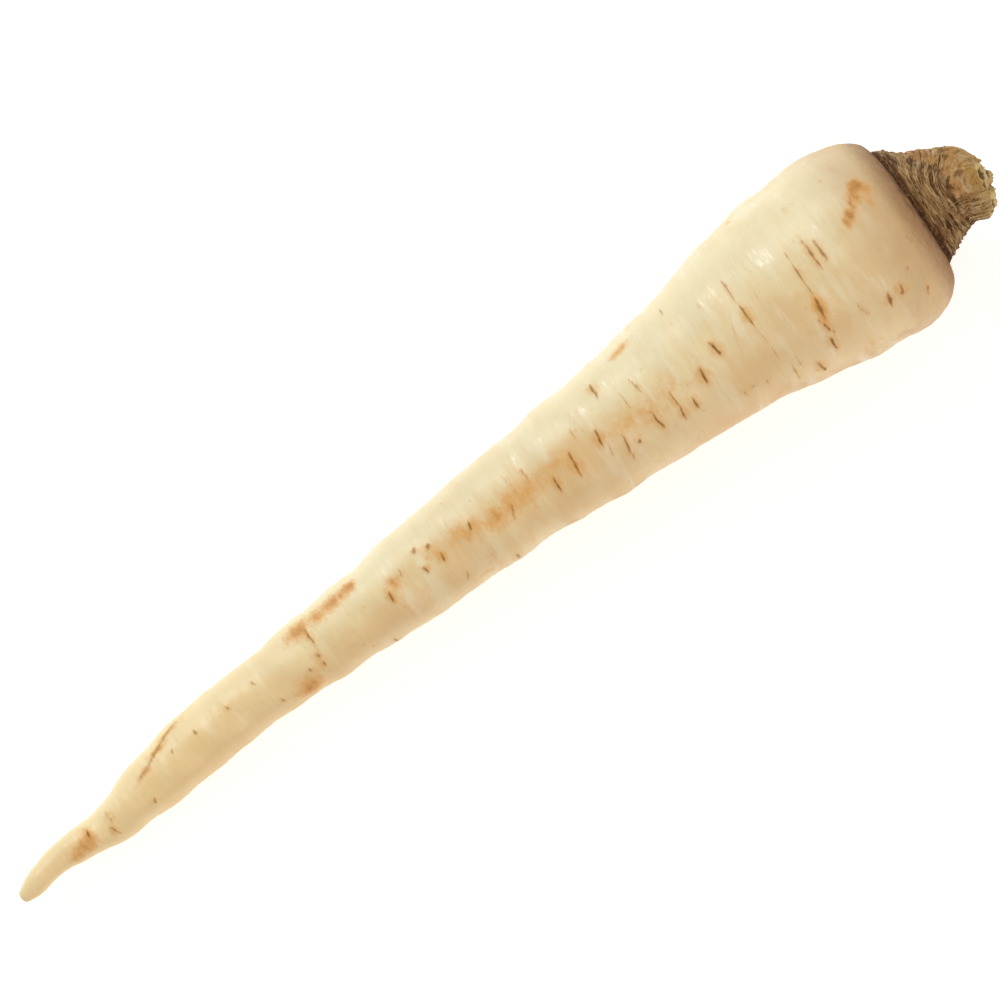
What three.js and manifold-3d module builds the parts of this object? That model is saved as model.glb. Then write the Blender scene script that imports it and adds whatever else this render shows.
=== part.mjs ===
// A parsley root, as pulled and trimmed: one long tapering taproot with the crown of cut
// leaf stalks still on it, lying on its side. It grew as one piece, so it is one solid.
// Millimetres, +Z up. The tip points to -X, the crown to +X, and the root rests on Z = 0.
import * as THREE from "three";
import { mergeVertices } from "three/addons/utils/BufferGeometryUtils.js";
import Module from "manifold-3d";

const wasm = await Module();
wasm.setup();

// The taproot's outline seen from above, from the blunt tip to the neck under the crown:
// distance from the tip, sideways bow of the centre line, half width.
const TAPROOT = [
  [0, 0.4, 1.4],
  [2, 0.8, 2.2],
  [9, 2.1, 2.7],
  [14, 1.9, 3.2],
  [18, 1.5, 3.5],
  [21, 1.5, 4.1],
  [29, 2.6, 5.4],
  [36, 3.4, 6.1],
  [46, 4.4, 6.5],
  [60, 4.9, 6.4],
  [70, 5.1, 7.2],
  [87, 5.2, 8.1],
  [93, 5.3, 8.8],
  [106, 5.8, 9.3],
  [112, 6.0, 9.9],
  [124, 6.1, 10.3],
  [131, 5.9, 11.2],
  [141, 5.8, 11.9],
  [152, 6.2, 13.1],
  [163, 6.5, 14.4],
  [168, 7.0, 15.3],
  [178, 7.0, 17.3],
  [186, 6.5, 18.8],
  [195, 6.0, 19.6],
  [200, 5.6, 19.8],
  [204.3, 5.3, 19.0],
  [207.6, 5.4, 17.1],
  [209.6, 5.6, 14.6],
  [210.0, 5.8, 12.4],
];
// The crown's corky core, which grows out of the neck and narrows to the bud.
const CROWN = [
  [210.8, 5.8, 12.3],
  [212.3, 5.6, 11.6],
  [214, 5.2, 10.3],
  [216.5, 4.7, 8.8],
  [219, 4.0, 7.3],
  [221, 3.3, 5.7],
  [222.4, 2.9, 3.3],
];
// Height of the centre line over the surface: it lies on its shoulder and on its tail.
const HEIGHT = [
  [0, 5.3],
  [20, 4.9],
  [45, 5.9],
  [100, 10.3],
  [150, 14.4],
  [198, 18.3],
  [212, 19.3],
  [226, 20.0],
];
const END_BULGE = 0.5; // how far the tip and the bud reach past their last ring

const TAPROOT_RINGS = 78;
const CROWN_RINGS = 12;
const SECTORS = 36;

const DEPTH_SHARE = 0.97; // height of a cross section over its width
const LOBES = 3;
const LOBE_SHARE = 0.012; // how far the cross section is from a plain oval
const LOBE_TURN_MM = 38; // length over which the lobes turn by one radian
const ROOTLET_ROWS = 4; // shallow grooves where the side roots sat in rows
const ROW_TURN = THREE.MathUtils.degToRad(-12);
const ROW_HALF_ANGLE = THREE.MathUtils.degToRad(16);
const ROW_DEPTH_SHARE = 0.022;
const SWELL_HEIGHT = 0.22; // broad swellings along the root
const SWELL_GAP = 11.5; // from one swelling to the next
const SWELL_SLANT = 1.3; // how far a swelling runs aslant round the root, in radians
const SWELL_FADE_MM = 17; // length over which the swellings come and go by one radian
const SWELL_TURNS = 2; // how often they come and go round the root
const FULL_SWELL_FROM = 6; // half width of the root from which the swellings have full height

// The bundle of cut leaf stalks. It leans to one side of the crown.
const BUNDLE_FOOT = new THREE.Vector3(214, 5.6, 19.4);
const BUNDLE_LEAN = THREE.MathUtils.degToRad(-22);
const CUT_SLANT = 0.9; // how much shorter a stalk is cut on its outer side, over its thickness
const STALK_RINGS = 5;
const STALK_SIDES = 14;
// Each stalk base clasps the bundle like a scale: turn about the bundle from the top,
// where its foot and its cut end are along the bundle, its distance from the bundle's
// middle at both, the half angle that it clasps, and its thickness.
const STALKS = [
  { turn: 88, foot: -1.5, cut: 12.2, atFoot: 7.2, atCut: 5.3, clasp: 50, thick: 3.2 },
  { turn: 5, foot: -1.0, cut: 10.8, atFoot: 7.0, atCut: 5.2, clasp: 50, thick: 2.8 },
  { turn: -66, foot: 0.5, cut: 11.3, atFoot: 5.6, atCut: 5.6, clasp: 36, thick: 2.2 },
  { turn: 176, foot: -0.5, cut: 11.0, atFoot: 7.0, atCut: 4.8, clasp: 56, thick: 3.0 },
  { turn: 30, foot: 3, cut: 12.2, atFoot: 2.6, atCut: 2.4, clasp: 75, thick: 2.0 },
  { turn: -110, foot: 3, cut: 11.6, atFoot: 2.8, atCut: 2.4, clasp: 64, thick: 2.0 },
  { turn: -80, foot: -1.5, cut: 5.2, atFoot: 9.4, atCut: 8.0, clasp: 36, thick: 2.0 },
  { turn: 132, foot: -1.5, cut: 5.6, atFoot: 8.8, atCut: 6.8, clasp: 34, thick: 1.9 },
  { turn: -150, foot: -1.5, cut: 4.2, atFoot: 9.0, atCut: 7.2, clasp: 28, thick: 1.8 },
];

const SKIN = new THREE.MeshStandardMaterial({
  color: new THREE.Color().setRGB(0.87, 0.79, 0.61, THREE.SRGBColorSpace),
  roughness: 0.55,
  metalness: 0,
});

// A smooth value between the rows of [position, value].
function smoothValue(rows, position) {
  const last = rows.length - 2;
  const at = rows.findIndex((row) => row[0] > position);
  const i = Math.min(Math.max(at < 0 ? last : at - 1, 0), last);
  const slope = (a, b) => (rows[b][1] - rows[a][1]) / (rows[b][0] - rows[a][0]);
  const span = rows[i + 1][0] - rows[i][0];
  const share = (position - rows[i][0]) / span;
  const slopeIn = slope(Math.max(i - 1, 0), i + 1) * span;
  const slopeOut = slope(i, Math.min(i + 2, rows.length - 1)) * span;
  const squared = share * share;
  const cubed = squared * share;
  return (
    rows[i][1] * (2 * cubed - 3 * squared + 1) +
    slopeIn * (cubed - 2 * squared + share) +
    rows[i + 1][1] * (3 * squared - 2 * cubed) +
    slopeOut * (cubed - squared)
  );
}

// Rings [along, bow, half width] spaced evenly over a smooth outline.
function ringsOver(outline, count) {
  const points = outline.map((row) => new THREE.Vector3(...row));
  return new THREE.CatmullRomCurve3(points, false, "centripetal").getSpacedPoints(count - 1);
}

// Radius of a cross section over its half width. The angle starts on top and turns to +Y.
function sectionShare(along, angle) {
  const oval = Math.hypot(Math.cos(angle) * DEPTH_SHARE, Math.sin(angle));
  const lobes = 1 + LOBE_SHARE * Math.cos(LOBES * angle + along / LOBE_TURN_MM);
  const rowGap = (2 * Math.PI) / ROOTLET_ROWS;
  const fromRow = angle - ROW_TURN - rowGap * Math.round((angle - ROW_TURN) / rowGap);
  const groove = ROW_DEPTH_SHARE * Math.exp(-((fromRow / ROW_HALF_ANGLE) ** 2));
  return oval * lobes * (1 - groove);
}

function swelling(along, angle) {
  const wave = Math.sin((2 * Math.PI * along) / SWELL_GAP + SWELL_SLANT * Math.sin(angle));
  return SWELL_HEIGHT * wave * Math.sin(along / SWELL_FADE_MM + SWELL_TURNS * angle);
}

// The points of one ring, clear of the surface or flattened against it.
function ringPoints({ x: along, y: bow, z: half }, swells) {
  const points = [];
  for (let sector = 0; sector < SECTORS; sector++) {
    const angle = (2 * Math.PI * sector) / SECTORS;
    const swell = swells ? swelling(along, angle) * Math.min(1, half / FULL_SWELL_FROM) : 0;
    const radius = half * sectionShare(along, angle) + swell;
    const height = Math.max(0, smoothValue(HEIGHT, along) + radius * Math.cos(angle));
    points.push(new THREE.Vector3(along, bow + radius * Math.sin(angle), height));
  }
  return points;
}

// A closed solid over a row of rings with the same number of points, from one end to the
// other, with a point that closes each end.
function loft(rings, startPoint, endPoint) {
  const sides = rings[0].length;
  const positions = [...rings.flat(), startPoint, endPoint].flatMap((p) => p.toArray());
  const start = rings.length * sides;
  const faces = [];
  for (let side = 0; side < sides; side++) {
    const next = (side + 1) % sides;
    faces.push(start, side, next);
    for (let ring = 0; ring + 1 < rings.length; ring++) {
      const low = ring * sides;
      const high = low + sides;
      faces.push(low + side, high + side, low + next);
      faces.push(low + next, high + side, high + next);
    }
    faces.push(start + 1, start - sides + next, start - sides + side);
  }
  return new THREE.BufferGeometry()
    .setAttribute("position", new THREE.Float32BufferAttribute(positions, 3))
    .setIndex(faces);
}

function middleOf(points) {
  return points.reduce((sum, p) => sum.add(p), new THREE.Vector3()).divideScalar(points.length);
}

function taprootAndCore() {
  const rings = [
    ...ringsOver(TAPROOT, TAPROOT_RINGS).map((ring) => ringPoints(ring, true)),
    ...ringsOver(CROWN, CROWN_RINGS).map((ring) => ringPoints(ring, false)),
  ];
  const tip = middleOf(rings[0]).add(new THREE.Vector3(-END_BULGE, 0, 0));
  const bud = middleOf(rings.at(-1)).add(new THREE.Vector3(END_BULGE, 0, 0));
  return loft(rings, tip, bud);
}

// One leaf stalk base: an oval bent round the bundle, drawn in from its foot to its cut.
function stalkBase({ turn, foot, cut, atFoot, atCut, clasp, thick }) {
  const ahead = new THREE.Vector3(Math.cos(BUNDLE_LEAN), Math.sin(BUNDLE_LEAN), 0);
  const up = new THREE.Vector3(0, 0, 1);
  const aside = new THREE.Vector3().crossVectors(up, ahead);
  const rings = [];
  for (let ring = 0; ring < STALK_RINGS; ring++) {
    const share = ring / (STALK_RINGS - 1);
    const distance = THREE.MathUtils.lerp(atFoot, atCut, share);
    const points = [];
    for (let side = 0; side < STALK_SIDES; side++) {
      const round = (2 * Math.PI * side) / STALK_SIDES;
      const angle = THREE.MathUtils.degToRad(turn - clasp * Math.cos(round));
      const outward = (thick / 2) * Math.sin(round);
      const radius = distance + outward;
      points.push(
        BUNDLE_FOOT.clone()
          .addScaledVector(ahead, THREE.MathUtils.lerp(foot, cut - CUT_SLANT * outward, share))
          .addScaledVector(up, radius * Math.cos(angle))
          .addScaledVector(aside, radius * Math.sin(angle)),
      );
    }
    rings.push(points);
  }
  return loft(rings, middleOf(rings[0]), middleOf(rings.at(-1)));
}

function toSolid(geometry) {
  const merged = mergeVertices(geometry);
  const solid = new wasm.Manifold(
    new wasm.Mesh({
      numProp: 3,
      vertProperties: merged.attributes.position.array,
      triVerts: new Uint32Array(merged.index.array),
    }),
  );
  if (solid.volume() <= 0) throw new Error("a piece of the root is inside out");
  return solid;
}

function toGeometry(solid) {
  const mesh = solid.getMesh();
  return new THREE.BufferGeometry()
    .setAttribute("position", new THREE.BufferAttribute(mesh.vertProperties, 3))
    .setIndex(new THREE.BufferAttribute(mesh.triVerts, 1));
}

const grown = STALKS.map(stalkBase).map(toSolid);
const whole = grown.reduce((root, stalk) => root.add(stalk), toSolid(taprootAndCore()));
const geometry = toGeometry(whole);
geometry.computeVertexNormals();
geometry.computeBoundingBox();

const parsleyRoot = new THREE.Mesh(geometry, SKIN);
parsleyRoot.name = "parsley_root";
// The frame's origin is the middle of the root's footprint, on the surface it rests on.
const middle = geometry.boundingBox.getCenter(new THREE.Vector3());
parsleyRoot.position.set(-middle.x, -middle.y, -geometry.boundingBox.min.z);

const group = new THREE.Group();
group.add(parsleyRoot);
export default group;
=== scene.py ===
# %% [markdown]
# # A parsley root, skin and crown
# This lesson finishes one parsley root that lies on its side. The CAD model gives its size
# and its place: one closed solid made of rings, with flat facets. Here the same root gets a
# fine skin with wrinkles, pore scars and stains, and a fibrous crown of cut leaf stalks.
# Everything is in metres. The tip points to -X, the crown to +X, and +Z is up.
#
# Words that are used throughout: `along` is the distance from the tip in millimetres, and
# `turn` is the angle round the root in degrees, 0 on top and 90 on the +Y side.

# %% The frame
import math

import bpy
import numpy as np
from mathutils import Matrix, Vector
from mathutils.bvhtree import BVHTree


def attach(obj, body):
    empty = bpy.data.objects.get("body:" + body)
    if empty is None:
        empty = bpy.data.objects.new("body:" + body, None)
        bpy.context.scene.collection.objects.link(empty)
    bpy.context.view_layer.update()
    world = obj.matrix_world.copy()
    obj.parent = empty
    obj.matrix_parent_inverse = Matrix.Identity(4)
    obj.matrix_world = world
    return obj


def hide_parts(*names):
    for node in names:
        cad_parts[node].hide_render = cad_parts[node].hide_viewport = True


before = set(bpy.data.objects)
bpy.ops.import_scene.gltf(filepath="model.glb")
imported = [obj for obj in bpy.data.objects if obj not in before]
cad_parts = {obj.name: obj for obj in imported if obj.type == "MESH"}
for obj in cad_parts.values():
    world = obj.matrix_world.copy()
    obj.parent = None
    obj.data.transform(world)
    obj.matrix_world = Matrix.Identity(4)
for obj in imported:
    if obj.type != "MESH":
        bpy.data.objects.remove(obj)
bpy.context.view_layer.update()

MM = 0.001

# %% [markdown]
# ## The camera and the light
# The root is seen from straight above, turned so that its crown points up and to the right.
# A long lens keeps the outline true. The light of a small product studio is one large soft
# lamp on the +Y side, low enough to leave a soft sheen along the shoulder, a weaker one
# opposite, and pale surroundings that fill the shade.

# %% Camera
VIEW_TURN = math.radians(-36.42)
VIEW_CENTRE = Vector((2.9, 1.7, 15.0)) * MM
VIEW_WIDTH = 187.24 * MM
LENS, SENSOR = 200.0, 36.0

camera_data = bpy.data.cameras.new("camera")
camera_data.lens = LENS
camera_data.sensor_width = SENSOR
camera = bpy.data.objects.new("camera", camera_data)
view_distance = VIEW_WIDTH * LENS / SENSOR
camera.location = VIEW_CENTRE + Vector((0, 0, view_distance))
camera.rotation_euler = (0, 0, VIEW_TURN)
bpy.context.scene.collection.objects.link(camera)
bpy.context.scene.camera = camera
bpy.context.scene.view_settings.view_transform = "Standard"
print("camera is", round(view_distance, 3), "m above the root")


# %% Lamps and surroundings
def soft_lamp(name, side_deg, height_deg, distance, size, power, colour):
    """A square lamp that looks at the root: side_deg is 0 from +X and turns to +Y."""
    data = bpy.data.lights.new(name, "AREA")
    data.size = size
    data.energy = power
    data.color = colour
    lamp = bpy.data.objects.new(name, data)
    side, height = math.radians(side_deg), math.radians(height_deg)
    direction = Vector(
        (math.cos(side) * math.cos(height), math.sin(side) * math.cos(height), math.sin(height))
    )
    lamp.location = VIEW_CENTRE + direction * distance
    lamp.rotation_euler = direction.to_track_quat("Z", "Y").to_euler()
    bpy.context.scene.collection.objects.link(lamp)
    return lamp


# name, side and height in degrees, distance and size in metres, power in watts, colour
soft_lamp("key_lamp", 100, 37, 0.9, 0.40, 3.6, (0.95, 0.99, 1.0))
soft_lamp("fill_lamp", -60, 50, 1.2, 0.9, 5.1, (1.0, 0.88, 0.76))

WORLD_STRENGTH = 0.41
world = bpy.data.worlds.new("surroundings")
world.use_nodes = True
world.node_tree.nodes["Background"].inputs["Color"].default_value = (1.0, 1.0, 1.0, 1.0)
world.node_tree.nodes["Background"].inputs["Strength"].default_value = WORLD_STRENGTH
bpy.context.scene.world = world

# %% [markdown]
# ## Nodes as Python
# Materials and Geometry Nodes trees are both graphs of nodes. A `Wire` is one socket that
# gives a value. It knows Python's operators, so `1 - mask * 0.5` adds the Math nodes that
# work it out. `Tree.node` adds any other node: its type, its settings, its sockets.


# %% Wires and trees
class Wire:
    """An output socket that Python's operators work on."""

    def __init__(self, tree, socket):
        self.tree = tree
        self.socket = socket

    def maths(self, operation, *values):
        settings = {"operation": operation}
        return self.tree.node("ShaderNodeMath", settings, dict(enumerate(values)))[0]

    def __add__(self, other):
        return self.maths("ADD", self, other)

    def __radd__(self, other):
        return self.maths("ADD", other, self)

    def __sub__(self, other):
        return self.maths("SUBTRACT", self, other)

    def __rsub__(self, other):
        return self.maths("SUBTRACT", other, self)

    def __mul__(self, other):
        return self.maths("MULTIPLY", self, other)

    def __truediv__(self, other):
        return self.maths("DIVIDE", self, other)

    def __neg__(self):
        return self.maths("MULTIPLY", self, -1.0)

    def bell(self):
        """1 at zero, falling smoothly to 0 by about 2."""
        return self.maths("POWER", math.e, -(self * self))

    def between(self, low, high):
        """0 at low, 1 at high and a smooth step between them."""
        settings = {"interpolation_type": "SMOOTHSTEP"}
        sockets = {"Value": self, "From Min": low, "From Max": high}
        return self.tree.node("ShaderNodeMapRange", settings, sockets)[0]


class Outputs(list):
    """A node's output sockets as wires, and the node itself."""

    def __init__(self, tree, node):
        super().__init__(Wire(tree, socket) for socket in node.outputs)
        self.node = node
        self.named = {socket.name: wire for socket, wire in zip(node.outputs, self)}


class Tree:
    """A node tree that nodes are added to."""

    def __init__(self, tree):
        self.tree = tree

    def node(self, kind, settings=None, sockets=None):
        node = self.tree.nodes.new(kind)
        for name, value in (settings or {}).items():
            setattr(node, name, value)
        for name, value in (sockets or {}).items():
            if isinstance(value, Wire):
                self.tree.links.new(value.socket, node.inputs[name])
            else:
                node.inputs[name].default_value = value
        return Outputs(self, node)

    def mix(self, factor, a, b, blend="MIX"):
        """A colour between colours a and b."""
        settings = {"data_type": "RGBA", "blend_type": blend}
        return self.node("ShaderNodeMix", settings, {0: factor, 6: a, 7: b})[2]

    def vector(self, operation, *values):
        settings = {"operation": operation}
        return self.node("ShaderNodeVectorMath", settings, dict(enumerate(values)))

    def noise(self, place, stretch, detail=3.0, roughness=0.55):
        """Noise from 0 to 1, with stretch = cells per millimetre along X, Y and Z."""
        cells = self.vector("MULTIPLY", place, tuple(s / MM for s in stretch))[0]
        sockets = {"Vector": cells, "Scale": 1.0, "Detail": detail, "Roughness": roughness}
        return self.node("ShaderNodeTexNoise", None, sockets)[0]


def srgb(red, green, blue):
    """A colour as it looks on a screen, from 0 to 255, as the linear colour that nodes use."""
    linear = [((v / 255 + 0.055) / 1.055) ** 2.4 for v in (red, green, blue)]
    return (*linear, 1.0)


# %% [markdown]
# ## The floor
# A plain pale board, wide enough to fill the view. It gives off a little light of its own, as
# a lit product table does, so that it stays white and the shade under the root stays soft.


# %% Floor
FLOOR_HALF = 1.5
FLOOR_WHITE = 0.92
FLOOR_GLOW = 0.47


def floor_material():
    material = bpy.data.materials.new("floor_white")
    material.use_nodes = True
    shader = material.node_tree.nodes["Principled BSDF"]
    shader.inputs["Base Color"].default_value = (FLOOR_WHITE, FLOOR_WHITE, FLOOR_WHITE, 1.0)
    shader.inputs["Roughness"].default_value = 0.9
    shader.inputs["Specular IOR Level"].default_value = 0.1
    shader.inputs["Emission Color"].default_value = (1.0, 1.0, 1.0, 1.0)
    shader.inputs["Emission Strength"].default_value = FLOOR_GLOW
    return material


floor_mesh = bpy.data.meshes.new("floor")
floor_sides = [(-1, -1), (1, -1), (1, 1), (-1, 1)]
floor_corners = [(x * FLOOR_HALF, y * FLOOR_HALF, 0) for x, y in floor_sides]
floor_mesh.from_pydata(floor_corners, [], [(0, 1, 2, 3)])
floor_mesh.materials.append(floor_material())
floor = bpy.data.objects.new("floor", floor_mesh)
bpy.context.scene.collection.objects.link(floor)

# %% [markdown]
# ## The root's shape, read from the frame
# The taproot is a row of rings, each with the same number of points. Reading them back from
# the CAD solid keeps the skin exactly where the solid is. A smooth curve through the rings
# then gives as many fine rings as wanted: round the root the curve closes on itself, so it
# is a sum of waves, and along the root it is a cubic spline.

# %% Rings of the CAD solid
TAPROOT_RINGS = 78
RING_POINTS = 36
SAME_RING = 0.02 * MM  # points closer than this along X are of one ring


def cad_rings():
    """The taproot's rings, from the tip to the neck, each starting on top and turning to +Y."""
    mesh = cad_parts["parsley_root"].data
    flat = np.empty(len(mesh.vertices) * 3, np.float32)
    mesh.vertices.foreach_get("co", flat)
    points = np.unique(np.round(flat.reshape(-1, 3).astype(float), 7), axis=0)
    points = points[np.argsort(points[:, 0])]
    ends = np.nonzero(np.diff(points[:, 0]) > SAME_RING)[0] + 1
    rings = [ring for ring in np.split(points, ends) if len(ring) == RING_POINTS][:TAPROOT_RINGS]
    ordered = []
    for ring in rings:
        middle = (ring.min(axis=0) + ring.max(axis=0)) / 2
        turn = np.arctan2(ring[:, 1] - middle[1], ring[:, 2] - middle[2])
        ring, turn = ring[np.argsort(turn)], np.sort(turn)
        ordered.append(np.roll(ring, -int(np.argmin(np.abs(turn))), axis=0))
    return np.array(ordered)


rings = cad_rings()
print("rings read from the CAD solid:", rings.shape[0], "of", TAPROOT_RINGS)

# %% Fine rings
STATIONS_PER_RING = 12
SECTORS = 96
FULL_TURN = 2 * math.pi


def spline_along(rows, count):
    """A natural cubic spline through rows, sampled at count even steps."""
    n = len(rows)
    flat = rows.reshape(n, -1)
    system = np.eye(n)
    pull = np.zeros_like(flat)
    for i in range(1, n - 1):
        system[i, i - 1 : i + 2] = (1, 4, 1)
        pull[i] = 6 * (flat[i - 1] - 2 * flat[i] + flat[i + 1])
    bend = np.linalg.solve(system, pull)
    position = np.linspace(0, n - 1, count)
    i = np.minimum(position.astype(int), n - 2)
    share = (position - i)[:, None]
    rest = 1 - share
    value = rest * flat[i] + share * flat[i + 1]
    value += ((rest**3 - rest) * bend[i] + (share**3 - share) * bend[i + 1]) / 6
    return value.reshape(count, *rows.shape[1:])


def waves_round(rows, count):
    """Each closed ring as a sum of waves, sampled at count points."""
    n = rows.shape[1]
    waves = np.fft.rfft(rows, axis=1)
    return np.fft.irfft(waves, n=count, axis=1) * (count / n)


def smoothstep(value, low, high):
    share = np.clip((value - low) / (high - low), 0, 1)
    return share * share * (3 - 2 * share)


skin_grid = spline_along(waves_round(rings, SECTORS), (TAPROOT_RINGS - 1) * STATIONS_PER_RING + 1)
TIP_X = float(skin_grid[0, :, 0].mean())
neck_middle = Vector(skin_grid[-1].mean(axis=0))
neck_radius = float(np.linalg.norm(skin_grid[-1] - np.array(neck_middle), axis=1).mean())
print("fine rings:", skin_grid.shape[:2], "neck radius, mm:", round(neck_radius / MM, 2))

# %% [markdown]
# The shoulder isn't square to the root: on the +Y side it reaches a little further. Leaning
# the last rings does that, and it keeps the skin within about a millimetre of the solid.

# %% Leaning shoulder
LEAN_SHARE = 0.055
LEAN_FROM, LEAN_FULL = 180.0, 204.0


def lean_shoulder(points):
    """Moves points on the +Y side of the shoulder further along."""
    along = (points[..., 0] - TIP_X) / MM
    aside = np.maximum(points[..., 1] - neck_middle.y, 0)
    moved = points.copy()
    moved[..., 0] += LEAN_SHARE * smoothstep(along, LEAN_FROM, LEAN_FULL) * aside
    return moved


ring_along = (skin_grid[:, :, 0].mean(axis=1) - TIP_X) / MM
skin_grid = lean_shoulder(skin_grid)


def on_skin(along, turn):
    """The point of the skin at along and turn, and the direction straight out of it."""
    station = np.interp(along, ring_along, np.arange(len(ring_along)))
    low = int(min(station, len(ring_along) - 2))
    share = station - low
    sector = turn / 360 * SECTORS
    side = int(math.floor(sector))
    across = sector - side
    corners = [[skin_grid[low + i, (side + j) % SECTORS] for j in (0, 1)] for i in (0, 1)]
    near = corners[0][0] * (1 - across) + corners[0][1] * across
    far = corners[1][0] * (1 - across) + corners[1][1] * across
    round_step = (corners[0][1] - corners[0][0]) + (corners[1][1] - corners[1][0])
    along_step = (corners[1][0] - corners[0][0]) + (corners[1][1] - corners[0][1])
    out = np.cross(round_step, along_step)
    point = Vector(near * (1 - share) + far * share)
    return point, Vector(out).normalized()


print("a point on top of the shoulder:", [round(v, 4) for v in on_skin(195, 0)[0]])

# %% [markdown]
# ## Marks on the skin
# A parsley root has pores in four rows, where thin side roots left it. Each heals as a short
# brown slit across the root, in a shallow furrow. Bruised skin turns orange-brown. Both are
# listed one by one where they matter most, and a seeded scatter covers the sides that are
# seldom seen, in the same rows.

# %% Pore scars, listed one by one
# Each scar: along, turn where it starts, turn where it ends, width in mm, darkness 0 to 1.
SCARS = [
    (189.4, 21, -1, 0.34, 0.75), (191.1, 16, 1, 0.42, 0.50), (185.4, 21, -12, 0.26, 0.45),
    (185.0, -12, -26, 0.55, 0.80), (184.1, -26, -38, 0.34, 0.85), (183.4, -38, -51, 0.42, 0.90),
    (173.4, 35, 11, 0.22, 0.40), (173.4, 11, -5, 0.42, 0.80), (173.6, -5, -40, 0.20, 0.28),
    (165.3, 3, -10, 0.46, 0.85), (160.6, -7, -20, 0.46, 0.95), (156.5, -23, -33, 0.40, 0.90),
    (153.7, -7, -24, 0.24, 0.55), (153.5, -24, -34, 0.40, 0.80), (149.0, -11, -32, 0.40, 0.90),
    (179.4, -53, -67, 0.44, 0.85), (174.9, -45, -61, 0.22, 0.45), (176.4, -38, -56, 0.20, 0.35),
    (196.2, -34, -41, 0.62, 0.80), (198.9, -34, -39, 0.55, 0.90), (203.2, -43, -49, 0.34, 0.70),
    (205.4, -11, -15, 0.50, 0.35), (202.1, -25, -29, 0.50, 0.30), (191.1, -29, -39, 0.24, 0.45),
    (149.4, 24, 6, 0.24, 0.40), (142.7, 46, 30, 0.46, 0.60), (141.7, -11, -37, 0.34, 0.70),
    (138.3, 8, -11, 0.40, 0.85), (138.8, -11, -25, 0.20, 0.35), (131.8, 5, -23, 0.44, 0.80),
    (127.0, -8, -27, 0.36, 0.85), (143.9, -23, -28, 0.40, 0.70), (161.5, 58, 48, 0.40, 0.35),
    (164.9, -41, -49, 0.30, 0.45), (166.9, -42, -48, 0.44, 0.35), (169.6, -46, -52, 0.40, 0.30),
    (109.3, 10, -2, 0.36, 0.65), (101.8, 3, -10, 0.34, 0.80), (97.8, 3, -9, 0.32, 0.75),
    (100.8, 21, 14, 0.50, 0.50), (98.1, 28, 21, 0.55, 0.50), (103.4, -37, -49, 0.34, 0.35),
    (89.6, 6, -11, 0.34, 0.70), (117.4, -3, -19, 0.24, 0.45), (113.2, -57, -71, 0.46, 0.45),
    (85.4, -62, -80, 0.46, 0.45), (72.1, -6, -14, 0.36, 0.45), (72.0, -20, -29, 0.36, 0.55),
    (69.1, -16, -25, 0.36, 0.40), (61.7, -30, -42, 0.38, 0.40), (58.9, 26, 16, 0.36, 0.35),
    (52.4, 18, 8, 0.40, 0.45), (44.7, 22, 12, 0.40, 0.45), (39.1, 25, 15, 0.40, 0.35),
    (30.8, -23, -35, 0.42, 0.55), (16.8, 28, 7, 0.40, 0.80), (72.7, 40, 6, 0.32, 0.60),
    (22.0, 36, -2, 0.24, 0.40), (21.4, -2, -38, 0.28, 0.50), (123.2, 20, 2, 0.22, 0.35),
    (134.8, 24, 8, 0.22, 0.30), (146.2, 20, 2, 0.20, 0.30), (169.8, 8, -14, 0.18, 0.25),
    (178.6, -6, -24, 0.18, 0.22), (93.6, 20, 6, 0.24, 0.30), (119.6, 26, 12, 0.22, 0.30),
]
# A crease that runs aslant near the tail: along and turn of its points, and its darkness.
CREASE = [
    (44.3, 68, 0.2), (41.2, 60, 0.5), (38.3, 52, 0.8),
    (35.9, 41, 0.9), (33.2, 29, 0.6), (29.4, 20, 0.2),
]
CREASE_WIDTH = 0.55
CREASE_DARKNESS = 0.40

# %% Pore scars of the sides that are seldom seen
PORE_ROWS = (78, 168, 258)
PORE_SPREAD = 17
PORE_GAP = 4.4
PORE_CHANCE = 0.62
PORES_FROM, PORES_TO = 30.0, 203.0
ROW_SWAY, ROW_SWAY_LENGTH = 8, 26
UNSEEN_FROM, UNSEEN_TO = 98, 262
rng = np.random.default_rng(11)
along = PORES_FROM
while along < PORES_TO:
    for row in PORE_ROWS:
        sway = ROW_SWAY * math.sin(along / ROW_SWAY_LENGTH)
        middle = row + rng.normal(0, PORE_SPREAD) + sway
        unseen = UNSEEN_FROM < middle < UNSEEN_TO
        if unseen and rng.random() < PORE_CHANCE:
            half_turn = rng.uniform(4, 13)
            place = along + rng.uniform(-2, 2)
            width, dark = rng.uniform(0.22, 0.48), rng.uniform(0.3, 0.9)
            SCARS.append((place, middle + half_turn, middle - half_turn, width, dark))
    along += PORE_GAP * rng.uniform(0.6, 1.4)
print("pore scars:", len(SCARS))


# %% Scar lines
def edge_object(name, lines):
    """An object of open lines. Each line is a list of (point, width in m, darkness)."""
    points = [p for line in lines for p in line]
    edges, start = [], 0
    for line in lines:
        edges += [(start + i, start + i + 1) for i in range(len(line) - 1)]
        start += len(line)
    mesh = bpy.data.meshes.new(name)
    mesh.from_pydata([p[0] for p in points], edges, [])
    for column, attribute in ((1, "width"), (2, "darkness")):
        mesh.attributes.new(attribute, "FLOAT", "POINT").data.foreach_set(
            "value", [p[column] for p in points]
        )
    return bpy.data.objects.new(name, mesh)


SCAR_POINTS = 9
SLIT_SHARE = 0.84  # how much of a scar's width is the dark slit
SCAR_TAPER = 0.10  # how far into its taper a scar starts and ends


def fullness(share, taper):
    """1 in the middle of a line and less towards both ends."""
    return math.sin(math.pi * (taper + (1 - 2 * taper) * share))


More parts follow.
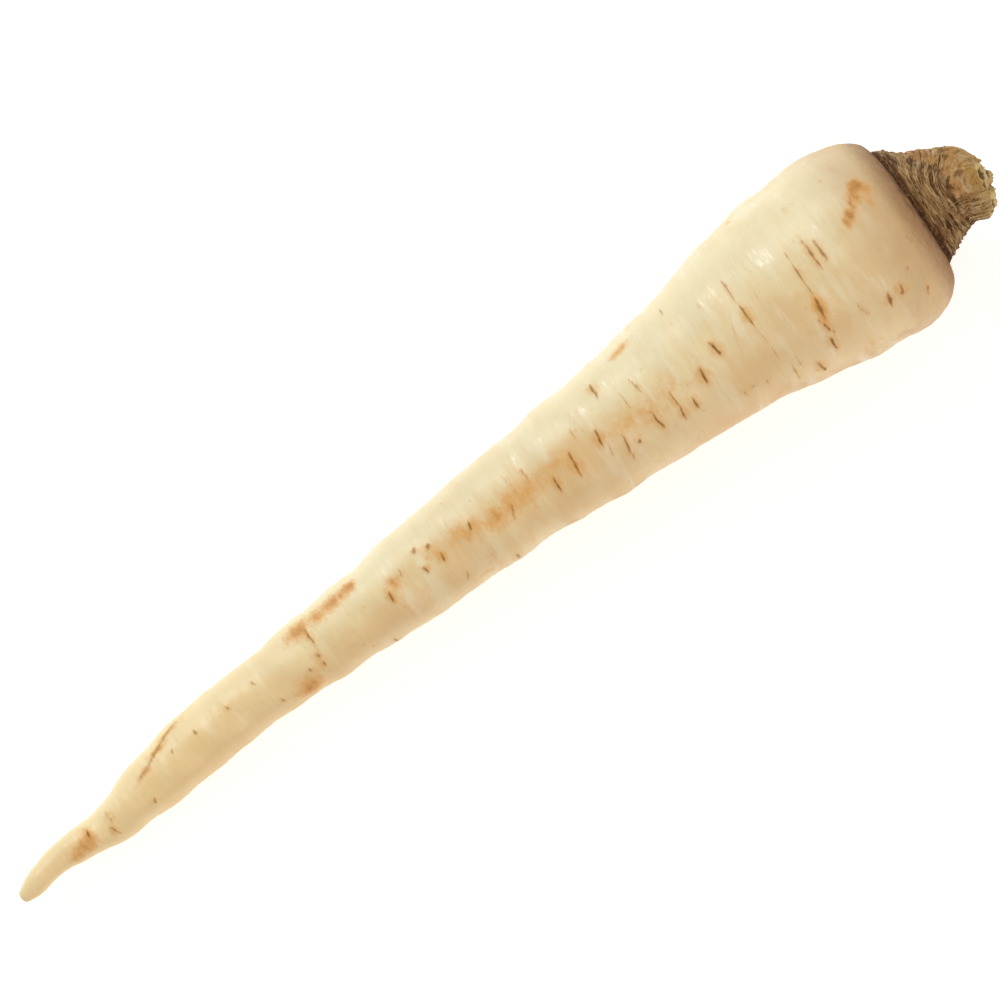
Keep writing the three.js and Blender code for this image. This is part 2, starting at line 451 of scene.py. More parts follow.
def scar_line(along, turn_from, turn_to, width, darkness):
    """A slit that wanders a little, and is thinner and paler at both ends."""
    line = []
    drift = rng.normal(0, 0.25)
    for i in range(SCAR_POINTS):
        share = i / (SCAR_POINTS - 1)
        full = fullness(share, SCAR_TAPER)
        place = along + drift * (share - 0.5) * 2 + rng.normal(0, 0.06)
        point, _ = on_skin(place, turn_from + (turn_to - turn_from) * share)
        slit_width = width * SLIT_SHARE * MM * (1 + full) / 2
        line.append((point, slit_width, darkness * math.sqrt(full)))
    return line


crease_line = [
    (on_skin(along, turn)[0], CREASE_WIDTH * MM, darkness * CREASE_DARKNESS)
    for along, turn, darkness in CREASE
]
scars = edge_object("scar_lines", [scar_line(*scar) for scar in SCARS] + [crease_line])
print("scar line points:", len(scars.data.vertices))

# %% Stains, listed one by one
# Each stain: along, turn, its reach along and across in mm, and its strength.
STAINS = [
    (197.8, 13, 1.0, 1.8, 0.84), (199.0, 17, 0.9, 1.8, 0.90), (200.4, 21, 0.9, 2.0, 0.90),
    (201.8, 26, 1.1, 2.0, 0.86), (203.1, 31, 1.4, 1.8, 0.88), (204.3, 25, 1.2, 1.7, 0.74),
    (203.6, 17, 0.8, 1.8, 0.52), (190.1, 42, 1.2, 2.0, 0.5),
    (192.6, 45, 0.9, 1.2, 0.45), (171.1, 32, 2.6, 1.1, 0.40), (185.0, -19, 1.2, 2.4, 0.95),
    (184.2, -30, 1.0, 3.0, 0.55), (151.0, 53, 4.2, 1.1, 0.8), (173.5, 2, 0.9, 2.6, 0.65),
    (160.6, -14, 0.9, 1.8, 0.6), (165.3, -4, 0.9, 1.6, 0.4), (149.6, -7, 5.5, 3.6, 0.34),
    (143.5, -4, 6.0, 3.0, 0.36), (155.6, -9, 5.0, 3.2, 0.28), (127.0, -17, 1.0, 1.6, 0.5),
    (131.5, -10, 1.3, 3.0, 0.45), (138.3, -2, 1.2, 2.6, 0.4), (114.3, -6, 5.2, 3.2, 0.66),
    (122.0, -2, 5.0, 2.8, 0.62), (106.7, 3, 2.8, 2.8, 0.62), (101.8, -3, 1.0, 1.6, 0.5),
    (97.8, -3, 1.0, 1.6, 0.45), (91.6, 9, 1.8, 2.0, 0.82), (89.6, -3, 0.9, 1.6, 0.45),
    (80.2, 44, 3.6, 1.9, 0.84), (76.2, 40, 1.9, 2.1, 0.74), (84.2, 47, 2.1, 1.5, 0.86),
    (71.5, 44, 3.0, 2.5, 0.95), (72.7, 22, 0.8, 2.2, 0.55), (66.7, -56, 2.0, 1.4, 0.5),
    (67.0, -44, 3.6, 2.8, 0.72), (71.5, -14, 1.6, 2.6, 0.50), (101.0, 8, 2.4, 2.4, 0.5),
    (129.0, 4, 3.2, 1.6, 0.45), (106.7, -59, 2.4, 0.9, 0.5), (40.0, 58, 3.4, 1.0, 0.75),
    (36.5, 44, 2.8, 0.9, 0.9), (32.8, 28, 2.4, 1.0, 0.7), (30.2, -6, 3.0, 2.6, 0.22),
    (22.0, 20, 1.4, 1.8, 0.45), (21.0, -20, 1.4, 1.6, 0.5), (16.6, 14, 1.6, 2.4, 0.80),
    (14.8, -14, 2.0, 2.4, 0.78), (12.4, -30, 1.8, 1.6, 0.70), (181.3, 75, 0.9, 1.2, 0.6),
    (118.0, 22, 3.0, 1.8, 0.22), (135.0, 14, 3.6, 2.4, 0.24), (58.5, -12, 3.0, 2.2, 0.25),
    (48.0, -20, 3.4, 2.0, 0.22), (90.5, -28, 4.0, 1.8, 0.2), (176.0, -58, 4.0, 3.0, 0.25),
    (188.0, -62, 5.0, 3.0, 0.35),
]
UNSEEN_STAINS = 34
for _ in range(UNSEEN_STAINS):
    turn, strength = rng.uniform(96, 264), rng.uniform(0.2, 0.62)
    along, reach_along, reach_across = rng.uniform(12, 204), rng.uniform(0.8, 4.5), rng.uniform(0.8, 2.4)
    STAINS.append((along, turn, reach_along, reach_across, strength))


def stain_strength(points):
    """How stained each point of the skin is, from 0 to 1."""
    clear = np.ones(points.shape[:-1])
    for along, turn, reach_along, reach_across, strength in STAINS:
        middle = np.array(on_skin(along, turn)[0])
        offset = (points - middle) / MM
        apart_along = offset[..., 0] / reach_along
        apart_across = np.hypot(offset[..., 1], offset[..., 2]) / reach_across
        clear *= 1 - strength * np.exp(-(apart_along**2 + apart_across**2))
    return 1 - clear


print("stains:", len(STAINS))

# %% [markdown]
# ## The skin mesh
# The fine rings are joined into one closed mesh. The tip is rounded off by a few shrinking
# rings, and behind the neck the skin turns in under the crown, so that it is closed there.

# %% Skin mesh
TIP_RINGS = 6
TIP_REACH = 0.9 * MM
NECK_TUCKS = (  # how far past the neck in mm, and the share of its radius
    (0.10, 0.80),
    (-0.3, 0.45),
)


def closed_loft(name, grid, start, end):
    """A closed mesh over rings of points, with one point that closes each end."""
    count, sides = grid.shape[:2]
    points = [*map(tuple, grid.reshape(-1, 3)), tuple(start), tuple(end)]
    first, last = count * sides, count * sides + 1
    faces = []
    for side in range(sides):
        after = (side + 1) % sides
        faces.append((first, after, side))
        for ring in range(count - 1):
            low, high = ring * sides, (ring + 1) * sides
            faces.append((low + side, low + after, high + after, high + side))
        faces.append((last, (count - 1) * sides + side, (count - 1) * sides + after))
    mesh = bpy.data.meshes.new(name)
    mesh.from_pydata(points, [], faces)
    mesh.polygons.foreach_set("use_smooth", [True] * len(mesh.polygons))
    return mesh


def tip_cap():
    """Rings that round the tip off, from its end to the first ring of the skin."""
    first = skin_grid[0]
    middle = first.mean(axis=0)
    caps = []
    for i in range(TIP_RINGS):
        rise = math.cos(math.pi / 2 * (i + 1) / (TIP_RINGS + 1))
        spread = math.sqrt(1 - rise * rise)
        caps.append(middle + (first - middle) * spread - np.array([TIP_REACH * rise, 0, 0]))
    return np.array(caps), middle - np.array([TIP_REACH, 0, 0])


def neck_tuck():
    """Rings that turn in behind the neck, and the middle of the neck."""
    last, middle = skin_grid[-1], skin_grid[-1].mean(axis=0)
    tucks = [
        middle + (last - middle) * share + np.array([past * MM, 0, 0])
        for past, share in NECK_TUCKS
    ]
    return np.array(tucks), middle


tip_rings, tip_end = tip_cap()
tuck_rings, tuck_end = neck_tuck()
skin_rings = np.concatenate([tip_rings, skin_grid, tuck_rings])
skin_mesh = closed_loft("root_skin", skin_rings, tip_end, tuck_end)
all_points = np.concatenate([skin_rings.reshape(-1, 3), [tip_end, tuck_end]])
ring_of_neck = ring_along[-1]
skin_turn = np.linspace(0, FULL_TURN, SECTORS, endpoint=False)
at_tip, at_neck = np.full(TIP_RINGS, ring_of_neck), np.zeros(len(NECK_TUCKS))
to_neck = np.concatenate([at_tip, ring_of_neck - ring_along, at_neck])
for name, values in (
    ("stain", stain_strength(all_points)),
    ("along", (all_points[:, 0] - TIP_X) / MM),
    ("to_neck", [*np.repeat(to_neck, SECTORS), ring_of_neck, 0.0]),
    ("aside", [*np.tile(np.sin(skin_turn), len(skin_rings)), 0.0, 0.0]),
    ("under", [*np.tile(-np.cos(skin_turn), len(skin_rings)), 0.0, 0.0]),
):
    skin_mesh.attributes.new(name, "FLOAT", "POINT").data.foreach_set("value", values)
skin_smooth = bpy.data.objects.new("root_skin_smooth", skin_mesh)
print("skin faces:", len(skin_mesh.polygons))

# %% [markdown]
# ## Wrinkles and pressed-in scars
# A root swells in rings as it grows, so its skin is wrinkled across. Noise that changes fast
# along the root and slowly round it gives such wrinkles. The scars are pressed in where the
# skin lies near a scar line: the tree measures that distance for every point, sinks a narrow
# slit and a wider furrow, and stores both for the material. Where the root touches the
# surface it lies on, the skin stays smooth.


# %% A Geometry Nodes tree
def geometry_tree(name, inputs):
    """An empty modifier tree with a geometry going in and out, and named inputs."""
    group = bpy.data.node_groups.new(name, "GeometryNodeTree")
    group.is_modifier = True
    group.interface.new_socket("Geometry", in_out="INPUT", socket_type="NodeSocketGeometry")
    group.interface.new_socket("Geometry", in_out="OUTPUT", socket_type="NodeSocketGeometry")
    for label, kind in inputs:
        group.interface.new_socket(label, in_out="INPUT", socket_type=kind)
    tree = Tree(group)
    return tree, tree.node("NodeGroupInput").named


def finish_tree(tree, geometry, material):
    """Ends a tree in real geometry with a material."""
    real = tree.node("GeometryNodeRealizeInstances", None, {0: geometry})[0]
    done = tree.node("GeometryNodeSetMaterial", None, {"Geometry": real, "Material": material})[0]
    tree.node("NodeGroupOutput", None, {0: done})
    return tree.tree


def grown(source, tree, values, name):
    """The plain mesh object that a tree makes from source."""
    bpy.context.scene.collection.objects.link(source)
    modifier = source.modifiers.new("grow", "NODES")
    modifier.node_group = tree
    for item in tree.interface.items_tree:
        if item.in_out == "INPUT" and item.name in values:
            modifier[item.identifier] = values[item.name]
    depsgraph = bpy.context.evaluated_depsgraph_get()
    mesh = bpy.data.meshes.new_from_object(source.evaluated_get(depsgraph), depsgraph=depsgraph)
    source.modifiers.remove(modifier)
    bpy.data.objects.remove(source)
    mesh.name = name
    made = bpy.data.objects.new(name, mesh)
    bpy.context.scene.collection.objects.link(made)
    mesh.polygons.foreach_set("use_smooth", [True] * len(mesh.polygons))
    triangles = sum(len(p.vertices) - 2 for p in mesh.polygons)
    print(name, "faces:", len(mesh.polygons), "triangles:", triangles)
    return made


# %% The relief tree
WRINKLE_LAYERS = (  # cells per mm along and round the root, and height in mm
    (0.055, 0.070, 0.42),
    (0.40, 0.100, 0.16),
    (1.05, 0.160, 0.060),
)
SMOOTH_BELOW = 2.5 * MM


def named_value(tree, name, kind="FLOAT"):
    """A value or a vector that is stored on the geometry."""
    settings = {"data_type": kind}
    return tree.node("GeometryNodeInputNamedAttribute", settings, {"Name": name})[0]


def moved_out(tree, geometry, normal, height):
    """The geometry with every point moved along its normal."""
    offset = tree.node("ShaderNodeVectorMath", {"operation": "SCALE"}, {0: normal, "Scale": height})[0]
    return tree.node("GeometryNodeSetPosition", None, {"Geometry": geometry, "Offset": offset})[0]


def stored(tree, geometry, name, value):
    settings = {"data_type": "FLOAT", "domain": "POINT"}
    sockets = {"Geometry": geometry, "Name": name, "Value": value}
    return tree.node("GeometryNodeStoreNamedAttribute", settings, sockets)[0]


def wrinkles(tree, place, layers):
    height = 0.0
    for along_cells, round_cells, tall in layers:
        noise = tree.noise(place, (along_cells, round_cells, round_cells), detail=2.0)
        height = (noise - 0.5) * (2 * tall * MM) + height
    return height


def relief_tree(material):
    numbers = ("Slit Depth", "Furrow Depth", "Furrow Spread")
    inputs = [("Scar Lines", "NodeSocketObject"), *((n, "NodeSocketFloat") for n in numbers)]
    tree, given = geometry_tree("skin_relief", inputs)
    place = tree.node("GeometryNodeInputPosition")[0]
    lines = tree.node("GeometryNodeObjectInfo", None, {"Object": given["Scar Lines"]}).named["Geometry"]
    near = tree.node("GeometryNodeProximity", {"target_element": "EDGES"}, {0: lines}).named
    nearest = {0: lines, 1: near["Position"]}
    index = tree.node("GeometryNodeSampleNearest", {"domain": "POINT"}, nearest)[0]

    def of_line(name):
        settings = {"data_type": "FLOAT", "domain": "POINT"}
        sockets = {0: lines, "Value": named_value(tree, name), "Index": index}
        return tree.node("GeometryNodeSampleIndex", settings, sockets)[0]

    width, darkness = of_line("width"), of_line("darkness")
    slit = (near["Distance"] / width).bell()
    furrow = (near["Distance"] / (width * given["Furrow Spread"])).bell() * darkness
    pressed = slit * darkness * given["Slit Depth"] + furrow * given["Furrow Depth"]
    height = tree.node("ShaderNodeSeparateXYZ", None, {0: place})[2]
    free = height.between(0.0, SMOOTH_BELOW)
    relief = (wrinkles(tree, place, WRINKLE_LAYERS) - pressed) * free
    marked = stored(tree, given["Geometry"], "slit", slit)
    marked = stored(tree, marked, "furrow", furrow)
    marked = stored(tree, marked, "darkness", darkness)
    normal = tree.node("GeometryNodeInputNormal")[0]
    return finish_tree(tree, moved_out(tree, marked, normal, relief), material)


# %% [markdown]
# ## The skin's finish
# The skin is cream, warmer and more tan in broad patches and on the tail. Where the shoulder
# turns in to the neck it is beige to brown, partly its own colour and partly painted shade, and
# the gap at the neck is painted nearly black as shade. Fine streaks run across it. The stains
# and scars come from the values stored on the mesh, with noise on their edges so that none is
# a neat spot. The lit +Y side is painted paler as painted light; the -Y side is painted warmer
# and its lower half darker, both as painted shade. The skin is waxy: it has a soft sheen that
# is broken up in short strokes, and light passes a short way into it.


# %% Skin material
def attribute(tree, name, output="Fac"):
    """A value that is stored on the mesh, for a material. The output "Vector" gives a vector."""
    settings = {"attribute_type": "GEOMETRY", "attribute_name": name}
    return tree.node("ShaderNodeAttribute", settings).named[output]


def new_material(name, constants):
    """A material, its tree and its shader, with the sockets that stay the same all over."""
    material = bpy.data.materials.new(name)
    material.use_nodes = True
    shader = material.node_tree.nodes["Principled BSDF"]
    for socket, value in constants.items():
        shader.inputs[socket].default_value = value
    return material, Tree(material.node_tree), shader


def connect(tree, shader, colour, roughness, bump_height, bump_distance):
    """Feeds the shader what changes over the surface."""
    sockets = {"Height": bump_height, "Distance": bump_distance, "Strength": 1.0}
    normal = tree.node("ShaderNodeBump", None, sockets)[0]
    for name, wire in (("Base Color", colour), ("Roughness", roughness), ("Normal", normal)):
        tree.tree.links.new(wire.socket, shader.inputs[name])


CREAM = srgb(242, 222, 174)
PALE = srgb(249, 238, 204)
TAN = srgb(230, 194, 138)
TAIL_TAN = srgb(251, 224, 168)
# Partly the skin's own colour, partly painted shade: the shoulder, the neck and the gap at the neck
SHOULDER_BEIGE_AND_SHADE = srgb(204, 168, 122)
NECK_BROWN_AND_SHADE = srgb(150, 108, 66)
NECK_GAP_SHADE = srgb(86, 56, 28)
# Painted light on the lit +Y side, painted shade on the -Y side and on its lower half
LIT_SIDE_PAINTED_PALE = srgb(241, 230, 192)
SHADED_SIDE_WARM = srgb(228, 186, 134)
UNDERSIDE_SHADE = srgb(146, 114, 82)
STAIN_ORANGE = srgb(228, 168, 88)
STAIN_BROWN = srgb(190, 122, 46)
SHOULDER_STAIN = srgb(178, 120, 50)
SCAR_TAN = srgb(196, 146, 78)
SCAR_BROWN = srgb(126, 84, 32)


SKIN_NOISES = {  # cells per mm along the root and round it, detail, roughness
    "broad": (0.035, 0.055, 2.0, 0.55),
    "patch": (0.16, 0.11, 4.0, 0.60),
    "band": (0.34, 0.07, 2.0, 0.55),
    "streak": (0.95, 0.13, 4.0, 0.60),
    "fleck": (0.70, 0.42, 3.0, 0.65),
    "grain": (2.2, 1.3, 3.0, 0.60),
    "stroke": (3.6, 0.55, 2.0, 0.55),
}
SKIN_BUMP = 0.14 * MM


def skin_material():
    material, tree, shader = new_material(
        "root_skin_waxy",
        {
            "Subsurface Weight": 0.06,
            "Subsurface Radius": (1.0, 0.55, 0.28),
            "Subsurface Scale": 0.003,
            "Specular IOR Level": 0.42,
            "Coat Roughness": 0.20,
        },
    )
    place = tree.node("ShaderNodeTexCoord").named["Object"]
    along = attribute(tree, "along")
    broad, patch, band, streak, fleck, grain, stroke = (
        tree.noise(place, (cells_along, cells_round, cells_round), detail, roughness)
        for cells_along, cells_round, detail, roughness in SKIN_NOISES.values()
    )

    # Broad patches, growth bands and streaks
    colour = tree.mix(broad.between(0.36, 0.66), CREAM, TAN)
    colour = tree.mix(patch.between(0.50, 0.68) * 0.60, colour, TAN)
    colour = tree.mix(band.between(0.54, 0.70) * 0.45, colour, PALE)
    colour = tree.mix(band.between(0.46, 0.32) * 0.35, colour, TAN)
    colour = tree.mix(streak.between(0.56, 0.78) * broad * 0.40, colour, PALE)
    colour = tree.mix(streak.between(0.46, 0.24) * patch * 0.45, colour, TAN)

    # The paler lit side as painted light, the warmer side as painted shade, and the tail
    aside = attribute(tree, "aside") + (patch - 0.5) * 1.3
    colour = tree.mix(aside.between(0.05, 0.60) * 0.60, colour, LIT_SIDE_PAINTED_PALE)
    # Painted shade: the -Y side, away from the key lamp, is made warmer
    colour = tree.mix(aside.between(-0.05, -0.45) * 0.30, colour, SHADED_SIDE_WARM)
    # Painted shade: the lower half on the -Y side is darkened
    under = attribute(tree, "under") + (patch - 0.5) * 1.2 + (streak - 0.5) * 0.4
    shaded = under.between(-0.50, 0.80) * attribute(tree, "aside").between(0.2, -0.7)
    colour = tree.mix(shaded * 0.50, colour, UNDERSIDE_SHADE)
    colour = tree.mix((1 - along.between(26.0, 100.0)) * 0.60, colour, TAIL_TAN)
    spotted = fleck.between(0.63, 0.73) * along.between(20.0, 60.0) * 0.32
    colour = tree.mix(spotted, colour, STAIN_ORANGE)

    # The shoulder, darker towards the neck: partly its own beige and brown, partly painted shade,
    # and painted shade nearly black in the gap at the neck
    ragged = along + (patch - 0.5) * 9.0
    colour = tree.mix(ragged.between(190.0, 208.0) * 0.75, colour, SHOULDER_BEIGE_AND_SHADE)
    to_neck = attribute(tree, "to_neck") + (stroke - 0.5) * 1.6 + (fleck - 0.5) * 1.4
    colour = tree.mix(to_neck.between(5.6, 0.8) * 0.88, colour, NECK_BROWN_AND_SHADE)
    colour = tree.mix(to_neck.between(1.35, -0.10) * 0.92, colour, NECK_GAP_SHADE)

    # Stains, the tan furrow of a scar and its dark slit
    uneven = (fleck - 0.5) * 0.85 + (grain - 0.5) * 0.35 + (patch - 0.5) * 0.55
    blot = attribute(tree, "stain") + uneven
    colour = tree.mix(blot.between(0.14, 0.80) * 0.80, colour, STAIN_ORANGE)
    colour = tree.mix(blot.between(0.60, 1.05) * 0.66, colour, STAIN_BROWN)
    deep = blot.between(0.40, 0.95) * along.between(186.0, 196.0)
    colour = tree.mix(deep * 0.55, colour, SHOULDER_STAIN)
    furrow = attribute(tree, "furrow") + (fleck - 0.5) * 0.9
    colour = tree.mix(furrow.between(0.08, 0.75) * 0.50, colour, STAIN_ORANGE)
    darkness = attribute(tree, "darkness")
    edge = attribute(tree, "slit") + (stroke - 0.5) * 0.9 + (fleck - 0.5) * 1.1
    slit = edge.between(0.25, 0.95)
    colour = tree.mix(slit * darkness.between(0.0, 0.75) * 0.9, colour, SCAR_TAN)
    colour = tree.mix(edge.between(0.45, 1.15) * darkness, colour, SCAR_BROWN)

    # Roughness, relief and sheen
    roughness = 0.40 + patch.between(0.4, 0.7) * 0.14 + slit * 0.3
    roughness = roughness + ragged.between(196.0, 209.0) * 0.2 + to_neck.between(2.0, 0.5) * 0.25
    smoother_tail = 0.45 + along.between(20.0, 130.0) * 0.55
    height = (streak * 0.55 + grain * 0.25 + fleck * 0.2) * smoother_tail - slit * 0.2
    connect(tree, shader, colour, roughness, height, SKIN_BUMP)
    gloss = band.between(0.50, 0.60) * stroke.between(0.47, 0.57) * ragged.between(203.0, 196.0)
    gloss = gloss * streak.between(0.40, 0.56) * along.between(60.0, 135.0)
    tree.tree.links.new((gloss * 0.85).socket, shader.inputs["Coat Weight"])
    return material


root_skin_finish = skin_material()

# %% The finished skin
bpy.context.scene.collection.objects.link(scars)
relief = {
    "Scar Lines": scars,
    "Slit Depth": 0.15 * MM,
    "Furrow Depth": 0.20 * MM,
    "Furrow Spread": 4.2,
}
root_skin = grown(skin_smooth, relief_tree(root_skin_finish), relief, "root_skin")
bpy.data.objects.remove(scars)

# %% [markdown]
# ## How the crown's fibres run
# Old leaf bases wrap round the neck, so their fibres run round it too. On the +Y side they
# climb away from the neck and open like a fan. Every point of the crown gets a `flow`: its
# level in that fan in mm, and its direction round the crown. Ridges, colours and loose
# fibres all follow it, so that they agree with one another.

# %% Fibre flow
BUNDLE_FOOT = neck_middle + Vector((4.0, -0.2, 0.25)) * MM
BUNDLE_LEAN = math.radians(-22)
BUNDLE_AHEAD = Vector((math.cos(BUNDLE_LEAN), math.sin(BUNDLE_LEAN), 0))
BUNDLE_UP = Vector((0, 0, 1))
BUNDLE_ASIDE = BUNDLE_UP.cross(BUNDLE_AHEAD)
BEND = 4.0  # how far past the neck the crown starts to lean, in mm
SHIFT_BEFORE_BEND, RISE_BEFORE_BEND = 0.05, 0.06  # per mm, towards -Y and up
FAN_OPENING = 0.9


def fan(turn):
    """How far the fan is open at a turn from -180 to 180: 1 where the fibres keep level."""
    return 1 + FAN_OPENING * smoothstep(turn, 0, 80) * (1 - smoothstep(turn, 110, 175))


def crown_middle(past):
    """Y and Z of the crown's middle line, in mm from the neck's middle, past the neck by past."""
    leaned = np.maximum(past - BEND, 0) * math.tan(BUNDLE_LEAN)
    aside = leaned - SHIFT_BEFORE_BEND * np.minimum(past, BEND)
    return aside, RISE_BEFORE_BEND * np.clip(past, 0, BEND)


def flow_of(points):
    """For each point: its level, and the cosine and sine of its turn round the crown."""
    past, aside, up = ((points - np.array(neck_middle)) / MM).T
    middle_aside, middle_up = crown_middle(past)
    turn = np.arctan2(aside - middle_aside, up - middle_up)
    level = (past - LEAN_SHARE * np.maximum(aside, 0)) / fan(np.degrees(turn))
    return np.stack([level, np.cos(turn), np.sin(turn)], axis=1)


def set_values(mesh, **named):
    """Stores a list of values on the mesh's points under each name."""
    for name, values in named.items():
        mesh.attributes.new(name, "FLOAT", "POINT").data.foreach_set("value", values)


def set_flow(mesh):
    """Stores the flow of every point on the mesh."""
    flat = np.empty(len(mesh.vertices) * 3, np.float32)
    mesh.vertices.foreach_get("co", flat)
    flow = flow_of(flat.reshape(-1, 3).astype(float))
    mesh.attributes.new("flow", "FLOAT_VECTOR", "POINT").data.foreach_set("vector", flow.ravel())


def strands(tree, flow, level_cells, round_cells, detail=3.0):
    """Noise drawn out along the fibres, from a wire that carries the flow."""
    cells = tree.vector("MULTIPLY", flow, (level_cells, round_cells, round_cells))[0]
    sockets = {"Vector": cells, "Scale": 1.0, "Detail": detail, "Roughness": 0.6}
    return tree.node("ShaderNodeTexNoise", None, sockets)[0]


print("level 3 lies", round(3 * float(fan(80)), 1), "mm past the neck on the +Y side")

# %% [markdown]
# ## The crown's corky core
# The leaves grew from a short stem on the neck. Every leaf that fell left a ring of cork, so
# the core is a narrowing cone of uneven ridges. It leans to the -Y side. The rings repeat the
# neck's own outline at each radius, and a saw-tooth wave over the level gives the ridges.

# %% Crown core
CORE = (  # past the neck, radius, shift towards -Y, all in mm
    (-0.9, 11.6, 0.0),
    (0.3, 12.3, 0.0),
    (2.2, 11.5, 0.2),
    (4.0, 10.3, 0.6),
    (6.5, 8.8, 1.1),
    (9.0, 7.2, 1.8),
    (11.0, 5.5, 2.5),
    (12.6, 2.6, 2.9),
)
CORE_STATIONS = 170
CORE_SECTORS = 220
RIDGE_GAP, RIDGE_HEIGHT = 1.05, 0.34
LONG_WAVE, SHORT_WAVE = 0.28, 0.16  # how far the ridges swing from their level, in mm


def crown_core_grid():
    """Rings of the core, from inside the neck to its blunt end."""
    outline = waves_round(rings[-1:], CORE_SECTORS)[0] - np.array(neck_middle)
    outline = outline / neck_radius
    profile = spline_along(np.array(CORE), CORE_STATIONS)
    turn = np.linspace(0, FULL_TURN, CORE_SECTORS, endpoint=False)
    degrees = np.degrees(np.arctan2(np.sin(turn), np.cos(turn)))
    grid = []
    for past, radius, shift in profile:
        level = past / fan(degrees)
        wave = LONG_WAVE * np.sin(3 * turn + level) + SHORT_WAVE * np.sin(8 * turn - 2 * level)
        phase = (level + wave) / RIDGE_GAP
        ridge = (phase - np.floor(phase)) ** 2
        fade = smoothstep(level, 0.1, 0.9)
        tall = radius + RIDGE_HEIGHT * fade * (ridge - 0.5)
        ring = outline * tall[:, None] * MM
        grid.append(ring + np.array(neck_middle) + np.array([past, -shift, 0]) * MM)
    return lean_shoulder(np.array(grid))


core_grid = crown_core_grid()
core_ends = core_grid[0].mean(axis=0), core_grid[-1].mean(axis=0)
core_mesh = closed_loft("crown_core", core_grid, *core_ends)
set_flow(core_mesh)
print("core faces:", len(core_mesh.polygons))

# %% [markdown]
# ## The cut leaf stalks
# Each leaf stalk clasps the ones inside it, like a celery stalk, and all were cut off short.
# A stalk base is an oval bent round the bundle, with an uneven cut and a rim that stands a
# little proud of the shrunken inside. Wear has rounded some ends off. The one on the -Y side
# flares out to a lip.

# %% Stalk bases
CUT_SLANT = 0.9
STALK_RINGS, STALK_SIDES = 84, 72
# turn round the bundle, foot, cut, distance from its middle at foot and at cut, clasp,
# thickness, how far its end is rounded off, and whether its fibres run lengthwise
STALKS = [
    (88, -1.5, 11.0, 7.6, 6.0, 56, 3.2, 0.8, 0.0),
    (8, -1.0, 10.8, 7.0, 5.0, 56, 2.4, 0.2, 0.0),
    (-62, 0.5, 11.6, 5.4, 5.7, 42, 2.2, 0.0, 1.0),
    (176, -0.5, 11.0, 7.0, 4.8, 60, 3.0, 0.6, 0.3),
    (40, 3.0, 12.0, 3.0, 3.1, 80, 3.2, 0.4, 0.6),
    (-100, 3.0, 11.9, 3.2, 3.0, 80, 2.4, 0.0, 0.8),
    (-80, -1.5, 5.4, 9.4, 8.0, 36, 2.0, 0.8, 0.0),
    (132, -1.5, 5.6, 8.8, 6.8, 34, 1.9, 0.8, 0.0),
    (-150, -1.5, 4.2, 9.0, 7.2, 28, 1.8, 0.8, 0.0),
]
RIBS, RIB_HEIGHT = 7, 0.10
ROUND_FROM, ROUND_SHARE = 0.68, 0.55
ROUND_INWARD = 0.9  # how far rounding draws an end in, over its thickness
WEAR_DEPTH = 0.18
# How far each ring of the cut face lies past the cut in mm, its size and how deep inside it is
RIM_RINGS = ((0.10, 0.90, 0.15), (0.05, 0.64, 0.35), (-0.3, 0.42, 0.75), (-0.8, 0.22, 1.0))


def bundle_point(ahead, turn, distance):
    """The place at a distance from the bundle's middle line, turned from the top to +Y."""
    out = BUNDLE_UP * math.cos(turn) + BUNDLE_ASIDE * math.sin(turn)
    return BUNDLE_FOOT + BUNDLE_AHEAD * (ahead * MM) + out * (distance * MM)


def stalk_grid(turn, foot, cut, at_foot, at_cut, clasp, thick, worn, seed):
    """Rings of a stalk base and of its cut face, and how deep each point lies in that face."""
    rows, inside = [], []
    shares = [(i / (STALK_RINGS - 1), 0.0, 1.0, 0.0) for i in range(STALK_RINGS)]
    shares += [(1.0, past, size, depth) for past, size, depth in RIM_RINGS]
    for share, past, size, depth in shares:
        late = max(0.0, (share - ROUND_FROM) / (1 - ROUND_FROM))
        rounding = worn * ROUND_SHARE * late**3
        size = size * (1 - rounding)
        distance = at_foot + (at_cut - at_foot) * share - rounding * thick * ROUND_INWARD
        row = []
        for side in range(STALK_SIDES):
            round_turn = FULL_TURN * side / STALK_SIDES
            angle = math.radians(turn - clasp * size * math.cos(round_turn))
            outer = max(0.0, math.sin(round_turn))
            rib = RIB_HEIGHT * outer * math.cos(RIBS * 2 * round_turn + seed + 0.8 * share)
            wear = WEAR_DEPTH * math.sin(3 * round_turn + seed + 5 * share) * share
            outward = (thick / 2 * size) * math.sin(round_turn) + (rib + wear) * (1 - depth)
            ragged = 0.20 * math.sin(4 * round_turn + seed)
            ragged += 0.12 * math.sin(11 * round_turn + 2 * seed)
            end = cut - CUT_SLANT * outward + ragged
            ahead = foot + (end - foot) * share + past
            row.append(bundle_point(ahead, angle, distance + outward))
        rows.append(row)
        inside += [depth] * STALK_SIDES
    return np.array(rows), inside


def stalk_mesh(spec):
    *shape, lengthwise = spec
    seed = rng.uniform(0, 20)
    grid, inside = stalk_grid(*shape, seed)
    mesh = closed_loft("stalk", grid, grid[0].mean(axis=0), grid[-1].mean(axis=0))
    count, sides = grid.shape[:2]
    length = np.repeat(np.minimum(np.arange(count) / (STALK_RINGS - 1), 1.0), sides)
    across = np.tile(np.arange(sides) / sides, count)
    points = count * sides + 2
    set_values(
        mesh,
        inside=[*inside, 0.0, 1.0],
        length=[*length, 0.0, 1.0],
        across=[*across, 0.0, 0.0],
        which=[seed] * points,
        lengthwise=[lengthwise] * points,
    )
    set_flow(mesh)
    return mesh


